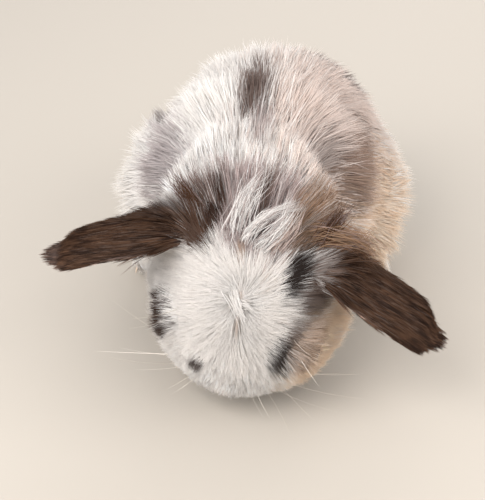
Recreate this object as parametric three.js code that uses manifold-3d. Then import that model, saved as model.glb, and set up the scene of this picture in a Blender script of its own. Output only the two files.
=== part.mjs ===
// Young lop-eared rabbit, crouched with its head lowered to sniff the ground and its ears out sideways: a still,
// life-size model. Millimetres, +Z up, nose towards -Y, the rabbit's own left towards +X.
// The solids reach out to the tips of the coat. The body is one rounded form that is parted by thin cuts.
import * as THREE from "three";
import { MarchingCubes } from "three/addons/objects/MarchingCubes.js";
import { mergeVertices } from "three/addons/utils/BufferGeometryUtils.js";
import Module from "manifold-3d";

const wasm = await Module();
wasm.setup();

// Driving sizes, all taken over the coat.
const bodyWidth = 103;
const backHeight = 91;
const headLength = 66;
const headWidth = 62;
const earLength = 56.5;
const earWidth = 26;
const eyeRadius = 6.2;
const hindFootLength = 56;
const forePawLength = 25;
const clawLength = 8; // with the half that is inside the toe
const partGap = 0.3; // left between pieces that touch
const bellyClearance = 3; // between the trunk and the ground

// About how long the facets of each piece are.
const cells = { head: 5, neck: 7.5, trunk: 10.5, tail: 6, thigh: 8, foreleg: 4.4, hindFoot: 4.5 };

const vec = (x, y, z) => new THREE.Vector3(x, y, z);
const degrees = THREE.MathUtils.degToRad;

// ---- Rounded forms, each a function that gives a point's distance from the form, negative inside ----

// An ellipsoid. turn is its rotation in degrees about X, Y and Z.
function ellipsoid(at, radii, turn = [0, 0, 0]) {
  const place = new THREE.Matrix4()
    .makeRotationFromEuler(new THREE.Euler(...turn.map(degrees)))
    .setPosition(at);
  const toLocal = place.clone().invert();
  const local = new THREE.Vector3();
  const scaled = new THREE.Vector3();
  return (point) => {
    local.copy(point).applyMatrix4(toLocal).divide(radii);
    const reach = local.length();
    const slope = scaled.copy(local).divide(radii).length();
    return slope === 0 ? -Math.min(radii.x, radii.y, radii.z) : (reach * (reach - 1)) / slope;
  };
}

// A round limb that tapers from one radius to another between two points.
function limb(from, to, fromRadius, toRadius) {
  const bone = new THREE.Line3(from, to);
  const nearest = new THREE.Vector3();
  return (point) => {
    const share = bone.closestPointToPointParameter(point, true);
    return bone.at(share, nearest).distanceTo(point) - THREE.MathUtils.lerp(fromRadius, toRadius, share);
  };
}

// The forms joined, with fillets about as wide as softness.
function blend(softness, ...forms) {
  return (point) =>
    forms.reduce((joined, form) => {
      const next = form(point);
      const overlap = Math.max(softness - Math.abs(joined - next), 0) / softness;
      return Math.min(joined, next) - (overlap * overlap * softness) / 4;
    }, 1e3);
}

// The form with a soft-edged hollow taken out of it.
function hollow(softness, form, tool) {
  return (point) => {
    const outside = form(point);
    const inside = -tool(point);
    const overlap = Math.max(softness - Math.abs(outside - inside), 0) / softness;
    return Math.max(outside, inside) + (overlap * overlap * softness) / 4;
  };
}

// A form described in a frame of its own and set in the rabbit's frame by a rigid matrix.
function posed(form, pose) {
  const toLocal = pose.clone().invert();
  const local = new THREE.Vector3();
  return (point) => form(local.copy(point).applyMatrix4(toLocal));
}

const bothSides = (makeForm) => [1, -1].map(makeForm);

// ---- Solids ----

// A three.js geometry as a manifold solid.
function solidOf(geometry) {
  const bare = geometry.clone();
  bare.deleteAttribute("normal");
  bare.deleteAttribute("uv");
  const merged = mergeVertices(bare, 1e-3);
  return new wasm.Manifold(
    new wasm.Mesh({
      numProp: 3,
      vertProperties: merged.attributes.position.array,
      triVerts: new Uint32Array(merged.index.array),
    }),
  );
}

// Moves each vertex along the form's slope until it lies on the form's surface.
function settleOn(form, positions) {
  const probe = 0.05;
  const point = new THREE.Vector3();
  const slope = new THREE.Vector3();
  for (let i = 0; i < positions.count; i += 1) {
    point.fromBufferAttribute(positions, i);
    const away = form(point);
    slope.set(
      form(point.clone().add(vec(probe, 0, 0))) - away,
      form(point.clone().add(vec(0, probe, 0))) - away,
      form(point.clone().add(vec(0, 0, probe))) - away,
    );
    slope.divideScalar(probe);
    point.addScaledVector(slope, -away / Math.max(slope.lengthSq(), 0.25));
    positions.setXYZ(i, ...point);
  }
}

// The form grown outwards by a distance.
const grown = (form, by) => (point) => form(point) - by;

// The part of a form that lies in a box, meshed by marching cubes at about the given cell size.
function formSolid(form, low, high, cell) {
  const bound = new THREE.Box3(low, high);
  const closing = bound.clone().expandByScalar(1.5 * cell); // the mesh is closed out here, then cut to the box
  const span = closing.getSize(vec(0, 0, 0));
  const size = Math.ceil(Math.max(...span) / cell) + 6;
  const half = size / 2;
  const centre = closing.getCenter(vec(0, 0, 0));
  const fits = (point) => Math.max(form(point), closing.distanceToPoint(point) - 0.5 * cell);
  const cubes = new MarchingCubes(size, new THREE.MeshBasicMaterial(), false, false, 40000);
  cubes.isolation = 0;
  const leastAway = 0.12 * cell; // keeps the surface off the grid's corners, where it would leave slivers
  const point = new THREE.Vector3();
  for (let k = 0; k < size; k += 1) {
    for (let j = 0; j < size; j += 1) {
      for (let i = 0; i < size; i += 1) {
        point.set(i - half, j - half, k - half).multiplyScalar(cell).add(centre);
        const away = fits(point);
        const kept = Math.max(Math.abs(away), leastAway) * (away < 0 ? -1 : 1);
        cubes.field[i + size * (j + size * k)] = -kept;
      }
    }
  }
  cubes.update();
  const corners = cubes.positionArray.slice(0, cubes.count * 3);
  const surface = new THREE.BufferGeometry()
    .setAttribute("position", new THREE.BufferAttribute(corners, 3))
    .scale(half * cell, half * cell, half * cell)
    .translate(...centre);
  const merged = mergeVertices(surface, 1e-3);
  settleOn(fits, merged.attributes.position);
  return solidOf(merged).intersect(boxSolid(bound));
}

function boxSolid(bound) {
  const span = bound.getSize(vec(0, 0, 0));
  return solidOf(new THREE.BoxGeometry(...span).translate(...bound.getCenter(vec(0, 0, 0))));
}

// Everything on the far side of a plane.
function beyond(point, normal) {
  const size = 600;
  const facing = new THREE.Quaternion().setFromUnitVectors(vec(0, 0, 1), normal.clone().normalize());
  const box = new THREE.BoxGeometry(size, size, size).translate(0, 0, size / 2);
  return solidOf(box.applyQuaternion(facing).translate(...point));
}

// An ellipsoid for cutting.
function egg({ at, radii, turn = [0, 0, 0] }, margin = 0) {
  const ball = new THREE.SphereGeometry(1, 12, 8);
  ball.scale(radii.x + margin, radii.y + margin, radii.z + margin);
  ball.applyQuaternion(new THREE.Quaternion().setFromEuler(new THREE.Euler(...turn.map(degrees))));
  return solidOf(ball.translate(...at));
}

// A round-ended rod for cutting.
function pill(from, to, radius, margin = 0) {
  const along = to.clone().sub(from);
  const rod = new THREE.CapsuleGeometry(radius + margin, along.length(), 2, 9);
  rod.applyQuaternion(new THREE.Quaternion().setFromUnitVectors(vec(0, 1, 0), along.clone().normalize()));
  return solidOf(rod.translate(...from.clone().add(to).divideScalar(2)));
}

// The one body that counts, without the crumbs that a cut can leave.
const largest = (solid) => solid.decompose().reduce((most, next) => (next.volume() > most.volume() ? next : most));

// ---- Body ----

const halfWidth = bodyWidth / 2;

const chest = ellipsoid(vec(0, -20, 44), vec(38, 28, 36));
const barrel = ellipsoid(vec(2, 6, backHeight - 45), vec(halfWidth - 11.5, 41, 44.5));
const rump = ellipsoid(vec(9, 31, 43), vec(halfWidth - 17, 36, 37.5));
const neck = limb(vec(0, -26, 56), vec(0, -48, 55), 31, 27);
const tailEgg = { at: vec(9, 66, 39), radii: vec(12, 11, 15), turn: [-15, 0, 0] };
const thighEgg = (side) => ({
  at: vec(side * (halfWidth - 16), 20, 28),
  radii: vec(17, 33, 27),
  turn: [8, 0, 0],
});
const eggForm = ({ at, radii, turn }) => ellipsoid(at, radii, turn);

// ---- Head, in a frame of its own: the nose towards -Y, the crown up, the origin inside the skull ----

const headPitch = 54; // degrees below level
const headTurn = -12; // towards the rabbit's own right
const headPose = new THREE.Matrix4()
  .makeRotationFromEuler(new THREE.Euler(degrees(headPitch), 0, degrees(headTurn)))
  .setPosition(2, -64, 43);
const fromHead = (point) => point.clone().applyMatrix4(headPose);

const broad = headWidth / 62;
const long = headLength / 66;
const inHead = (x, y, z) => vec(x * broad, y * long, z * broad);
const eyeAt = (side) => fromHead(inHead(side * 21, -16, 2));

function headForm() {
  const skull = ellipsoid(inHead(0, 6, 5), inHead(25, 24, 20));
  const face = ellipsoid(inHead(0, -9, 3), inHead(21.5, 21, 16.5));
  const cheeks = bothSides((side) => ellipsoid(inHead(side * 15.5, -9, -8), inHead(18.5, 23, 16.5)));
  const muzzle = ellipsoid(inHead(0, -21, -4), inHead(16.5, 15, 12));
  const lipPads = bothSides((side) => ellipsoid(inHead(side * 7, -28, -6.5), inHead(8, 8, 7.5)));
  const chin = ellipsoid(inHead(0, -23, -13), inHead(9, 9, 6.5));
  const nose = ellipsoid(inHead(0, -34, -1), inHead(4.6, 3.6, 3.6));
  const earRoots = bothSides((side) => ellipsoid(inHead(side * 17, 11, 15), inHead(9, 9, 8)));
  const broadForms = blend(9, skull, face, ...cheeks, muzzle, ...earRoots);
  const filled = blend(5, broadForms, ...lipPads, chin, nose);
  const eyeBowls = bothSides((side) => ellipsoid(inHead(side * 31.5, -16, 2), inHead(8, 9.5, 8)));
  return hollow(4, hollow(4, filled, eyeBowls[0]), eyeBowls[1]);
}
const head = posed(headForm(), headPose);

// ---- Feet: a long low pad with four toes across its front end ----

const hindFoot = {
  at: vec(37.5, 27, 7),
  radii: vec(9.5, hindFootLength / 2 - 2, 8),
  toeReach: 25,
  toeRadii: vec(3.1, 8, 4.8),
  toeSpacing: 4.4,
  splay: 5,
  clawRadius: 1,
};
const forePaw = {
  at: vec(17, -46, 6.5),
  radii: vec(8, forePawLength / 2 + 1, 7.5),
  toeReach: 9.5,
  toeRadii: vec(2.8, 6, 4.2),
  toeSpacing: 3.7,
  splay: 3,
  clawRadius: 0.9,
};

function footForm(side, plan) {
  const turn = [0, 0, side * plan.splay];
  const facing = new THREE.Matrix4()
    .makeRotationZ(degrees(turn[2]))
    .setPosition(side * plan.at.x, plan.at.y, plan.at.z);
  const toes = [-1.5, -0.5, 0.5, 1.5].map((place) =>
    vec(place * plan.toeSpacing, -plan.toeReach + 0.9 * place * place, plan.toeRadii.z - plan.at.z + 0.4),
  );
  const toeForms = toes.map((toe) => ellipsoid(toe.clone().applyMatrix4(facing), plan.toeRadii, turn));
  const pad = ellipsoid(vec(0, 0, 0).applyMatrix4(facing), plan.radii, turn);
  return { form: blend(2.5, pad, ...toeForms), toes, facing };
}

// One claw at the front of a toe: a cone that leaves the toe a little upwards and bends down to its tip.
function claw(toe, { facing }, { toeRadii, clawRadius }, margin = 0) {
  const rise = 8; // degrees
  const bend = 0.025; // millimetres of drop for each square millimetre of length
  const reach = clawLength + margin;
  const horn = new THREE.ConeGeometry(clawRadius + margin, reach, 6, 2).translate(0, reach / 2, 0);
  const corners = horn.attributes.position;
  for (let i = 0; i < corners.count; i += 1) {
    corners.setZ(i, corners.getZ(i) + bend * corners.getY(i) ** 2);
  }
  horn.rotateX(degrees(180 + rise));
  horn.translate(toe.x, toe.y - toeRadii.y + 0.55 * clawLength, toe.z + 0.4);
  return solidOf(horn.applyMatrix4(facing));
}

// Where the legs are parted from the body: rods along them, a little fatter than the legs.
const foreLegRods = (side, margin) =>
  pill(vec(side * 18.5, -25, 32), vec(side * 17.5, -41, 13), 15, margin)
    .add(pill(vec(side * 17, -34, 4), vec(side * 17.5, -62, 4), 12, margin));
const hindFootRod = (side, margin) => pill(vec(side * 35, 56, 2), vec(side * 40, -4, 2), 13.5, margin);
const foreLegForm = (side) => limb(vec(side * 18, -25, 34), vec(side * 17, -42, 10), 12.5, 8.5);

// ---- The whole form ----

const hindFeet = bothSides((side) => footForm(side, hindFoot));
const forePaws = bothSides((side) => footForm(side, forePaw));
const trunkForm = blend(14, chest, barrel, rump, neck);
const haunched = blend(13, trunkForm, ...bothSides((side) => eggForm(thighEgg(side))));
const tailed = blend(4, haunched, eggForm(tailEgg));
const legged = blend(6, tailed, ...bothSides(foreLegForm), ...[...hindFeet, ...forePaws].map((foot) => foot.form));
const headed = blend(10, trunkForm, head);
const whole = (point) => Math.min(legged(point), headed(point));

// The planes that part head, neck and trunk, each with the direction of the nose side.
const napeCut = { at: vec(0, -51, 45), normal: vec(0, -0.986, 0.164) };
const neckCut = { at: vec(0, -34, 60), normal: vec(0, -0.966, 0.259) };

// One side of a cut, set back from it by half of the gap. towards is 1 on the nose side and -1 behind.
function sideOf({ at, normal }, towards) {
  const facing = normal.clone().multiplyScalar(towards);
  return beyond(at.clone().addScaledVector(facing, partGap / 2), facing);
}

// ---- Parting the form ----

const headLow = vec(-46, -106, 0);
const headHigh = vec(46, -36, 84);
const headSolid = largest(formSolid(headed, headLow, headHigh, cells.head).intersect(sideOf(napeCut, 1)));
const headOuter = formSolid(grown(headed, partGap), headLow, headHigh, cells.head);

const neckSolid = largest(
  formSolid(headed, vec(-56, -66, 16), vec(56, -14, 100), cells.neck)
    .intersect(sideOf(napeCut, -1))
    .intersect(sideOf(neckCut, 1))
    .subtract(foreLegRods(1, partGap))
    .subtract(foreLegRods(-1, partGap)),
);

// The foot's claws, and the foot with a socket for each.
function withClaws(solid, foot, plan) {
  return {
    solid: foot.toes.reduce((rest, toe) => rest.subtract(claw(toe, foot, plan, partGap)), solid),
    claws: foot.toes.map((toe) => claw(toe, foot, plan)),
  };
}

// The legged form on one side of the body, from near to far across it, low to high, and between two Y values.
function legPiece(side, [near, far], [front, back], height, cell) {
  const low = vec(Math.min(side * near, side * far), front, 0);
  const high = vec(Math.max(side * near, side * far), back, height);
  return formSolid(legged, low, high, cell);
}

const thighMargin = 1.5; // how much fatter the cut round the haunch is than the haunch
const tailMargin = 1;

const forelegSolid = (side) =>
  largest(legPiece(side, [2, 40], [-78, -6], 50, cells.foreleg).intersect(foreLegRods(side, 0)));
const hindFootSolid = (side) =>
  largest(legPiece(side, [14, 62], [-14, 80], 18, cells.hindFoot).intersect(hindFootRod(side, 0)));
const thighSolid = (side) =>
  largest(
    legPiece(side, [8, 64], [-16, 74], 70, cells.thigh)
      .intersect(egg(thighEgg(side), thighMargin))
      .subtract(hindFootRod(side, partGap)),
  );
const tailSolid = largest(
  formSolid(legged, vec(-18, 50, 2), vec(30, 90, 66), cells.tail).intersect(egg(tailEgg, tailMargin)),
);

const cutFromTrunk = [
  ...[1, -1].flatMap((side) => [
    foreLegRods(side, partGap),
    hindFootRod(side, partGap),
    egg(thighEgg(side), thighMargin + partGap),
  ]),
  egg(tailEgg, tailMargin + partGap),
];
const trunkSolid = largest(
  cutFromTrunk.reduce(
    (rest, tool) => rest.subtract(tool),
    formSolid(whole, vec(-62, -70, bellyClearance), vec(62, 90, 110), cells.trunk).intersect(sideOf(neckCut, -1)),
  ),
);

// ---- Ears: a bent leaf, thick and rolled at the root, hollowed on its underside ----

// run points from the root to the tip, and lean turns the blade about it, in degrees.
const earPlans = [
  { side: 1, run: vec(0.86, -0.1, -0.49), lean: 18 },
  { side: -1, run: vec(-0.94, -0.05, -0.15), lean: 4 },
];
const earRoot = { radius: 8.5, thickness: 13, cup: 0.5 };
const earBlade = { radius: earWidth / 2, thickness: 4.6, cup: 4.5 };
const earArch = 3.5; // how far the middle of the ear rises above the line from its root to its tip

function earSolid({ side, run, lean }) {
  const root = fromHead(inHead(side * 12, 13, 18));
  const along = run.clone().normalize();
  const across = vec(0, side, 0).applyAxisAngle(along, degrees(side * lean));
  across.addScaledVector(along, -across.dot(along)).normalize();
  const up = along.clone().cross(across);
  const spine = new THREE.CatmullRomCurve3([
    root,
    root.clone().addScaledVector(along, 0.5 * earLength).addScaledVector(up, earArch),
    root.clone().addScaledVector(along, earLength).addScaledVector(up, -0.5 * earArch),
  ]);
  const shape = new THREE.SphereGeometry(1, 12, 18);
  const corners = shape.attributes.position;
  const corner = new THREE.Vector3();
  for (let i = 0; i < corners.count; i += 1) {
    corner.fromBufferAttribute(corners, i);
    const share = (1 - corner.y) / 2;
    const around = Math.atan2(corner.z, corner.x);
    const closing = Math.sqrt(Math.max(1 - (2 * share - 1) ** 4, 0));
    const opening = THREE.MathUtils.smoothstep(share, 0.05, 0.5);
    const between = (size) => closing * THREE.MathUtils.lerp(earRoot[size], earBlade[size], opening);
    const place = spine
      .getPoint(share)
      .addScaledVector(across, between("radius") * Math.cos(around))
      .addScaledVector(up, (between("thickness") / 2) * Math.sin(around) - between("cup") * Math.cos(around) ** 2);
    corners.setXYZ(i, ...place);
  }
  return solidOf(shape);
}

const earSolids = earPlans.map((plan) => largest(earSolid(plan).subtract(headOuter)));

// ---- Eyes ----

const ball = (at, radius) => solidOf(new THREE.SphereGeometry(radius, 12, 8).translate(...at));
const headWithSockets = [1, -1].reduce(
  (rest, side) => rest.subtract(ball(eyeAt(side), eyeRadius + partGap)),
  headSolid,
);

// ---- The model ----

const looks = {
  whiteFur: { color: 0xe6e0da, roughness: 0.95 },
  brownFur: { color: 0x52413a, roughness: 0.95 },
  eye: { color: 0x20130d, roughness: 0.08 },
  claw: { color: 0xcbb9a6, roughness: 0.5 },
};
const materials = Object.fromEntries(
  Object.entries(looks).map(([name, look]) => [name, new THREE.MeshStandardMaterial({ ...look, metalness: 0 })]),
);

const model = new THREE.Group();
function add(name, solid, material) {
  const { vertProperties, triVerts } = solid.getMesh();
  const geometry = new THREE.BufferGeometry()
    .setAttribute("position", new THREE.BufferAttribute(vertProperties, 3))
    .setIndex(new THREE.BufferAttribute(triVerts, 1));
  const mesh = new THREE.Mesh(geometry, material);
  mesh.name = name;
  model.add(mesh);
}

add("head", headWithSockets, materials.whiteFur);
add("neck", neckSolid, materials.whiteFur);
add("trunk", trunkSolid, materials.whiteFur);
add("tail", tailSolid, materials.brownFur);
[1, -1].forEach((side, index) => {
  const label = side > 0 ? "left" : "right";
  add(`ear_${label}`, earSolids[index], materials.brownFur);
  add(`eye_${label}`, ball(eyeAt(side), eyeRadius), materials.eye);
  add(`thigh_${label}`, thighSolid(side), materials.whiteFur);
  const limbs = {
    foreleg: withClaws(forelegSolid(side), forePaws[index], forePaw),
    hind_foot: withClaws(hindFootSolid(side), hindFeet[index], hindFoot),
  };
  Object.entries(limbs).forEach(([limbName, made]) => {
    add(`${limbName}_${label}`, made.solid, materials.whiteFur);
    made.claws.forEach((solid, toe) => add(`${limbName}_${label}_claw_${toe + 1}`, solid, materials.claw));
  });
});

// The origin is under the middle of the model, on the ground.
const extent = new THREE.Box3().setFromObject(model);
const middle = extent.getCenter(vec(0, 0, 0));
model.position.set(-middle.x, -middle.y, -extent.min.z);

export default model;
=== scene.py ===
import math

import bmesh
import bpy
import numpy as np
from mathutils import Matrix, Vector
from mathutils.bvhtree import BVHTree
from mathutils.kdtree import KDTree


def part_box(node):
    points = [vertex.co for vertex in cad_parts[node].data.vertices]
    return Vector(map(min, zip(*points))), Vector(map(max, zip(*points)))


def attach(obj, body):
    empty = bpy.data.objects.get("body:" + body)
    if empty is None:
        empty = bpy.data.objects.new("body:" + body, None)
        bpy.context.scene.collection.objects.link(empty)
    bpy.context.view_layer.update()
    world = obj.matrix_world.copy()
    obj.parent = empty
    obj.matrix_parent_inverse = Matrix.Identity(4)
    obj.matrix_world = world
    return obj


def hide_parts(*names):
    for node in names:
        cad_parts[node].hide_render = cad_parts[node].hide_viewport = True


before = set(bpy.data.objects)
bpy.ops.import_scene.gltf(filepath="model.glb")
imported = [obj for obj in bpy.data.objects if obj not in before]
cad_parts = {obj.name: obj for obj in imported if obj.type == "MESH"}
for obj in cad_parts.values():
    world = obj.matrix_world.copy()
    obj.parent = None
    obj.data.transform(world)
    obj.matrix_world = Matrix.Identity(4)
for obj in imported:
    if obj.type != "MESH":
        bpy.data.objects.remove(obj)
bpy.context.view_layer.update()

# A young lop rabbit: a skin over the solids' form, and a coat of solid tufts that grows out to their outline.
# Lengths are in millimetres until a mesh is made. The nose points to -Y, the rabbit's own left is +X.

mm = 0.001
rng = np.random.default_rng(11)
root = bpy.context.scene.collection


# Small helpers.

def smoothstep(low, high, value):
    share = np.clip((np.asarray(value, float) - low) / (high - low), 0, 1)
    return share * share * (3 - 2 * share)


def fadeOut(low, high, value):
    return 1 - smoothstep(low, high, value)


def unit(vectors):
    return vectors / np.maximum(np.linalg.norm(vectors, axis=-1, keepdims=True), 1e-9)


def along(points, direction):
    return (points * direction).sum(-1, keepdims=True)


def flattened(vectors, normals):
    # the part of each vector that lies in the surface
    return unit(vectors - along(vectors, normals) * normals)


ripplePlan = {"waves": 7, "slowest": 0.55, "fastest": 1.5, "divisor": 3.2}


def ripple(points, size, seed):
    # soft irregular noise between about -1 and 1, with lumps of about the given size
    draw, waves = np.random.default_rng(seed), ripplePlan["waves"]
    ways = unit(draw.normal(size=(waves, 3)))
    pace = draw.uniform(ripplePlan["slowest"], ripplePlan["fastest"], (waves, 1))
    turns = ways * (2 * math.pi / size) * pace
    return np.sin(points @ turns.T + draw.uniform(0, 2 * math.pi, waves)).sum(-1) / ripplePlan["divisor"]


def linear(hexColour):
    # an sRGB hex colour as linear light
    parts = [int(hexColour[i:i + 2], 16) / 255 for i in (1, 3, 5)]
    return tuple(c / 12.92 if c <= 0.04045 else ((c + 0.055) / 1.055) ** 2.4 for c in parts)


def addObject(name, mesh, body="root"):
    piece = bpy.data.objects.new(name, mesh)
    root.objects.link(piece)
    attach(piece, body)
    return piece


def addNode(material, kind, settings=None, links=None):
    # adds a node, sets its inputs or properties by name, and links its inputs to (node, output)
    node = material.node_tree.nodes.new(kind)
    for key, value in (settings or {}).items():
        if key in node.inputs:
            node.inputs[key].default_value = value
        else:
            setattr(node, key, value)
    for key, (source, output) in (links or {}).items():
        material.node_tree.links.new(source.outputs[output], node.inputs[key])
    return node


def newMaterial(name):
    material = bpy.data.materials.new(name)
    material.use_nodes = True
    material.node_tree.nodes.clear()
    return material


def paint(mesh, colours):
    # keeps a colour at each point, for the materials to read
    layer = mesh.attributes.new("coatColour", "FLOAT_COLOR", "POINT")
    opaque = np.hstack([colours, np.ones((len(colours), 1))])
    layer.data.foreach_set("color", opaque.astype(np.float32).ravel())


# The head's own frame.

# The head hangs nose down and is turned a little to the rabbit's right; the eyes' middle fixes its place.
headPlan = {"pitch": 54, "turn": -12, "eyeMiddle": (0, -16, 2)}
headAxes = (Matrix.Rotation(math.radians(headPlan["pitch"]), 3, "X")
            @ Matrix.Rotation(math.radians(headPlan["turn"]), 3, "Z"))
headTurn = np.array(headAxes)


def nodeBox(node):
    low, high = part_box(node)
    return np.array(low) / mm, np.array(high) / mm


def nodeMiddle(node):
    low, high = nodeBox(node)
    return (low + high) / 2


sides = {"left": 1, "right": -1}
eyeAt = {label: nodeMiddle(f"eye_{label}") for label in sides}
headOrigin = (eyeAt["left"] + eyeAt["right"]) / 2 - headTurn @ np.array(headPlan["eyeMiddle"])
toHead = lambda points: (points - headOrigin) @ headTurn
fromHead = lambda points: np.asarray(points, float) @ headTurn.T + headOrigin
turnFromHead = lambda vectors: np.asarray(vectors, float) @ headTurn.T

# Camera, lights and floor.

cameraPlan = {"azimuth": 5, "elevation": 34, "distance": 370, "besideHead": (-2, 0, 0), "lens": 83.2,
              "sensor": 36, "nearest": 10, "tiltUp": 1.49, "turnLeft": 0.07}
azimuth, elevation = (math.radians(cameraPlan[key]) for key in ("azimuth", "elevation"))
level = math.cos(elevation)
back = Vector((math.sin(azimuth) * level, -math.cos(azimuth) * level, math.sin(elevation)))
camera = bpy.data.objects.new("camera", bpy.data.cameras.new("camera"))
camera.data.sensor_width = cameraPlan["sensor"]
camera.data.lens = cameraPlan["lens"]
camera.data.clip_start = cameraPlan["nearest"] * mm
lookedAt = Vector(headOrigin + np.array(cameraPlan["besideHead"])) * mm
camera.location = lookedAt + back * cameraPlan["distance"] * mm
camera.rotation_mode = "QUATERNION"
aim = (-back).to_track_quat("-Z", "Y").to_matrix()
aim = (aim @ Matrix.Rotation(math.radians(cameraPlan["tiltUp"]), 3, "X")
       @ Matrix.Rotation(math.radians(cameraPlan["turnLeft"]), 3, "Y"))
camera.rotation_quaternion = aim.to_quaternion()
root.objects.link(camera)
bpy.context.scene.camera = camera

# Large soft boxes: a bright one high on the rabbit's right, a weak one opposite and one behind.
lightPlans = {
    "keyLight": {"at": (-370, -470, 540), "size": 0.55, "power": 8.3, "colour": (1, 0.99, 0.98)},
    "fillLight": {"at": (560, -260, 320), "size": 0.7, "power": 4.6, "colour": (1, 0.98, 0.96)},
    "backLight": {"at": (120, 620, 480), "size": 0.6, "power": 3.2, "colour": (1, 0.985, 0.97)},
}
lightsAim = Vector((0, 0, 0.04))
for name, plan in lightPlans.items():
    lamp = bpy.data.lights.new(name, "AREA")
    lamp.size = plan["size"]
    lamp.energy = plan["power"]
    lamp.color = plan["colour"]
    light = bpy.data.objects.new(name, lamp)
    light.location = Vector(plan["at"]) * mm
    light.rotation_mode = "QUATERNION"
    light.rotation_quaternion = (lightsAim - light.location).to_track_quat("-Z", "Y")
    root.objects.link(light)

worldPlan = {"colour": (0.955, 0.97, 1, 1), "strength": 0.9}
world = bpy.data.worlds.new("studio")
bpy.context.scene.world = world
world.use_nodes = True
sky = world.node_tree.nodes["Background"]
sky.inputs["Color"].default_value = worldPlan["colour"]
sky.inputs["Strength"].default_value = worldPlan["strength"]
bpy.context.scene.view_settings.view_transform = "Standard"

floorPlan = {"size": 6, "colour": "#a79f95"}
bm = bmesh.new()
bmesh.ops.create_grid(bm, x_segments=1, y_segments=1, size=floorPlan["size"] / 2)
floorMesh = bpy.data.meshes.new("floor")
bm.to_mesh(floorMesh)
bm.free()
floor = bpy.data.objects.new("floor", floorMesh)
root.objects.link(floor)
paper = newMaterial("studioPaper")
shade = addNode(paper, "ShaderNodeBsdfPrincipled",
                {"Base Color": (*linear(floorPlan["colour"]), 1), "Roughness": 0.8})
addNode(paper, "ShaderNodeOutputMaterial", links={"Surface": (shade, "BSDF")})
floorMesh.materials.append(paper)
print("camera, lights and floor are made")

# The skin's form: all flesh nodes run together.

fleshNodes = [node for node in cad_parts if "claw" not in node and not node.startswith("eye")]
skinPlan = {"closing": 0.35, "voxel": 1.3, "noseTip": (0, -35, -3), "fineWithin": 11, "finerWithin": 9,
            "slimHold": 0.32}
weld = 1e-5  # metres: points closer than this are one


def mergedCopy(node):
    copy = bmesh.new()
    copy.from_mesh(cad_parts[node].data)
    bmesh.ops.remove_doubles(copy, verts=copy.verts, dist=weld)
    copy.normal_update()
    return copy


nodeTrees = {}
joined = bmesh.new()
for node in fleshNodes + ["eye_left", "eye_right"]:
    copy = mergedCopy(node)
    if node in fleshNodes:
        nodeTrees[node] = BVHTree.FromBMesh(copy)
        for vert in copy.verts:
            vert.co += vert.normal * skinPlan["closing"] * mm
    swollen = bpy.data.meshes.new("swollen")
    copy.to_mesh(swollen)
    copy.free()
    joined.from_mesh(swollen)
    bpy.data.meshes.remove(swollen)
roughMesh = bpy.data.meshes.new("roughSkin")
joined.to_mesh(roughMesh)
joined.free()
rough = bpy.data.objects.new("roughSkin", roughMesh)
root.objects.link(rough)
remesh = rough.modifiers.new("remesh", "REMESH")
remesh.mode = "VOXEL"
remesh.voxel_size = skinPlan["voxel"] * mm
bpy.context.view_layer.update()
depsgraph = bpy.context.evaluated_depsgraph_get()
skinMesh = bpy.data.meshes.new_from_object(rough.evaluated_get(depsgraph))
skinMesh.name = "skin"
bpy.data.objects.remove(rough)

bm = bmesh.new()
bm.from_mesh(skinMesh)


def shells(mesh):
    # the mesh's separate shells, as lists of its vertices
    found, waiting = [], set(mesh.verts)
    while waiting:
        shell, edge = [], [waiting.pop()]
        while edge:
            vert = edge.pop()
            shell.append(vert)
            near = [link.other_vert(vert) for link in vert.link_edges]
            near = [other for other in near if other in waiting]
            waiting.difference_update(near)
            edge.extend(near)
        found.append(shell)
    return sorted(found, key=len)


for shell in shells(bm)[:-1]:
    bmesh.ops.delete(bm, geom=shell, context="VERTS")


def refine(mesh, places, reach):
    # cuts each edge whose middle lies within reach of one of the places
    close = []
    for edge in mesh.edges:
        middle = (edge.verts[0].co + edge.verts[1].co) / 2
        if any((middle - place).length < reach * mm for place in places):
            close.append(edge)
    bmesh.ops.subdivide_edges(mesh, edges=close, cuts=1, use_grid_fill=True)


finePlaces = [Vector(place) * mm for place in (*eyeAt.values(), fromHead(skinPlan["noseTip"]))]
bmesh.ops.smooth_vert(bm, verts=bm.verts, factor=0.5, use_axis_x=True, use_axis_y=True, use_axis_z=True)
refine(bm, finePlaces, skinPlan["fineWithin"])
refine(bm, finePlaces, skinPlan["finerWithin"])
bmesh.ops.triangulate(bm, faces=[face for face in bm.faces if len(face.verts) > 4])
bm.verts.index_update()
bm.to_mesh(skinMesh)
bm.free()
print("skin form:", len(skinMesh.vertices), "points")

# Fields over the skin.

count = len(skinMesh.vertices)
edgeEnds = np.empty(len(skinMesh.edges) * 2, np.int32)
skinMesh.edges.foreach_get("vertices", edgeEnds)
edgeEnds = edgeEnds.reshape(-1, 2)
degree = np.bincount(edgeEnds.ravel(), minlength=count)[:, None]


def spread(values, times, share=0.5):
    # each value moves towards the mean of its neighbours, several times over
    values = np.array(values, float)
    flat = values.reshape(count, -1)
    first, second = edgeEnds.T
    for _ in range(times):
        total = np.zeros_like(flat)
        for column in range(flat.shape[1]):
            total[:, column] = (np.bincount(first, flat[second, column], count)
                                + np.bincount(second, flat[first, column], count))
        flat = flat + (total / degree - flat) * np.asarray(share, float)
    return flat.reshape(values.shape)


def readPoints():
    flat = np.empty(count * 3)
    skinMesh.vertices.foreach_get("co", flat)
    return flat.reshape(-1, 3) / mm


def readNormals(points):
    skinMesh.vertices.foreach_set("co", (points * mm).ravel())
    skinMesh.update()
    flat = np.empty(count * 3, np.float32)
    skinMesh.vertex_normals.foreach_get("vector", flat)
    return flat.reshape(-1, 3).astype(float)


points = readPoints()
nearest = np.array([[nodeTrees[node].find_nearest(Vector(point) * mm)[3] for node in fleshNodes]
                    for point in points])
nearNode = nearest.argmin(1)


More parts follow.
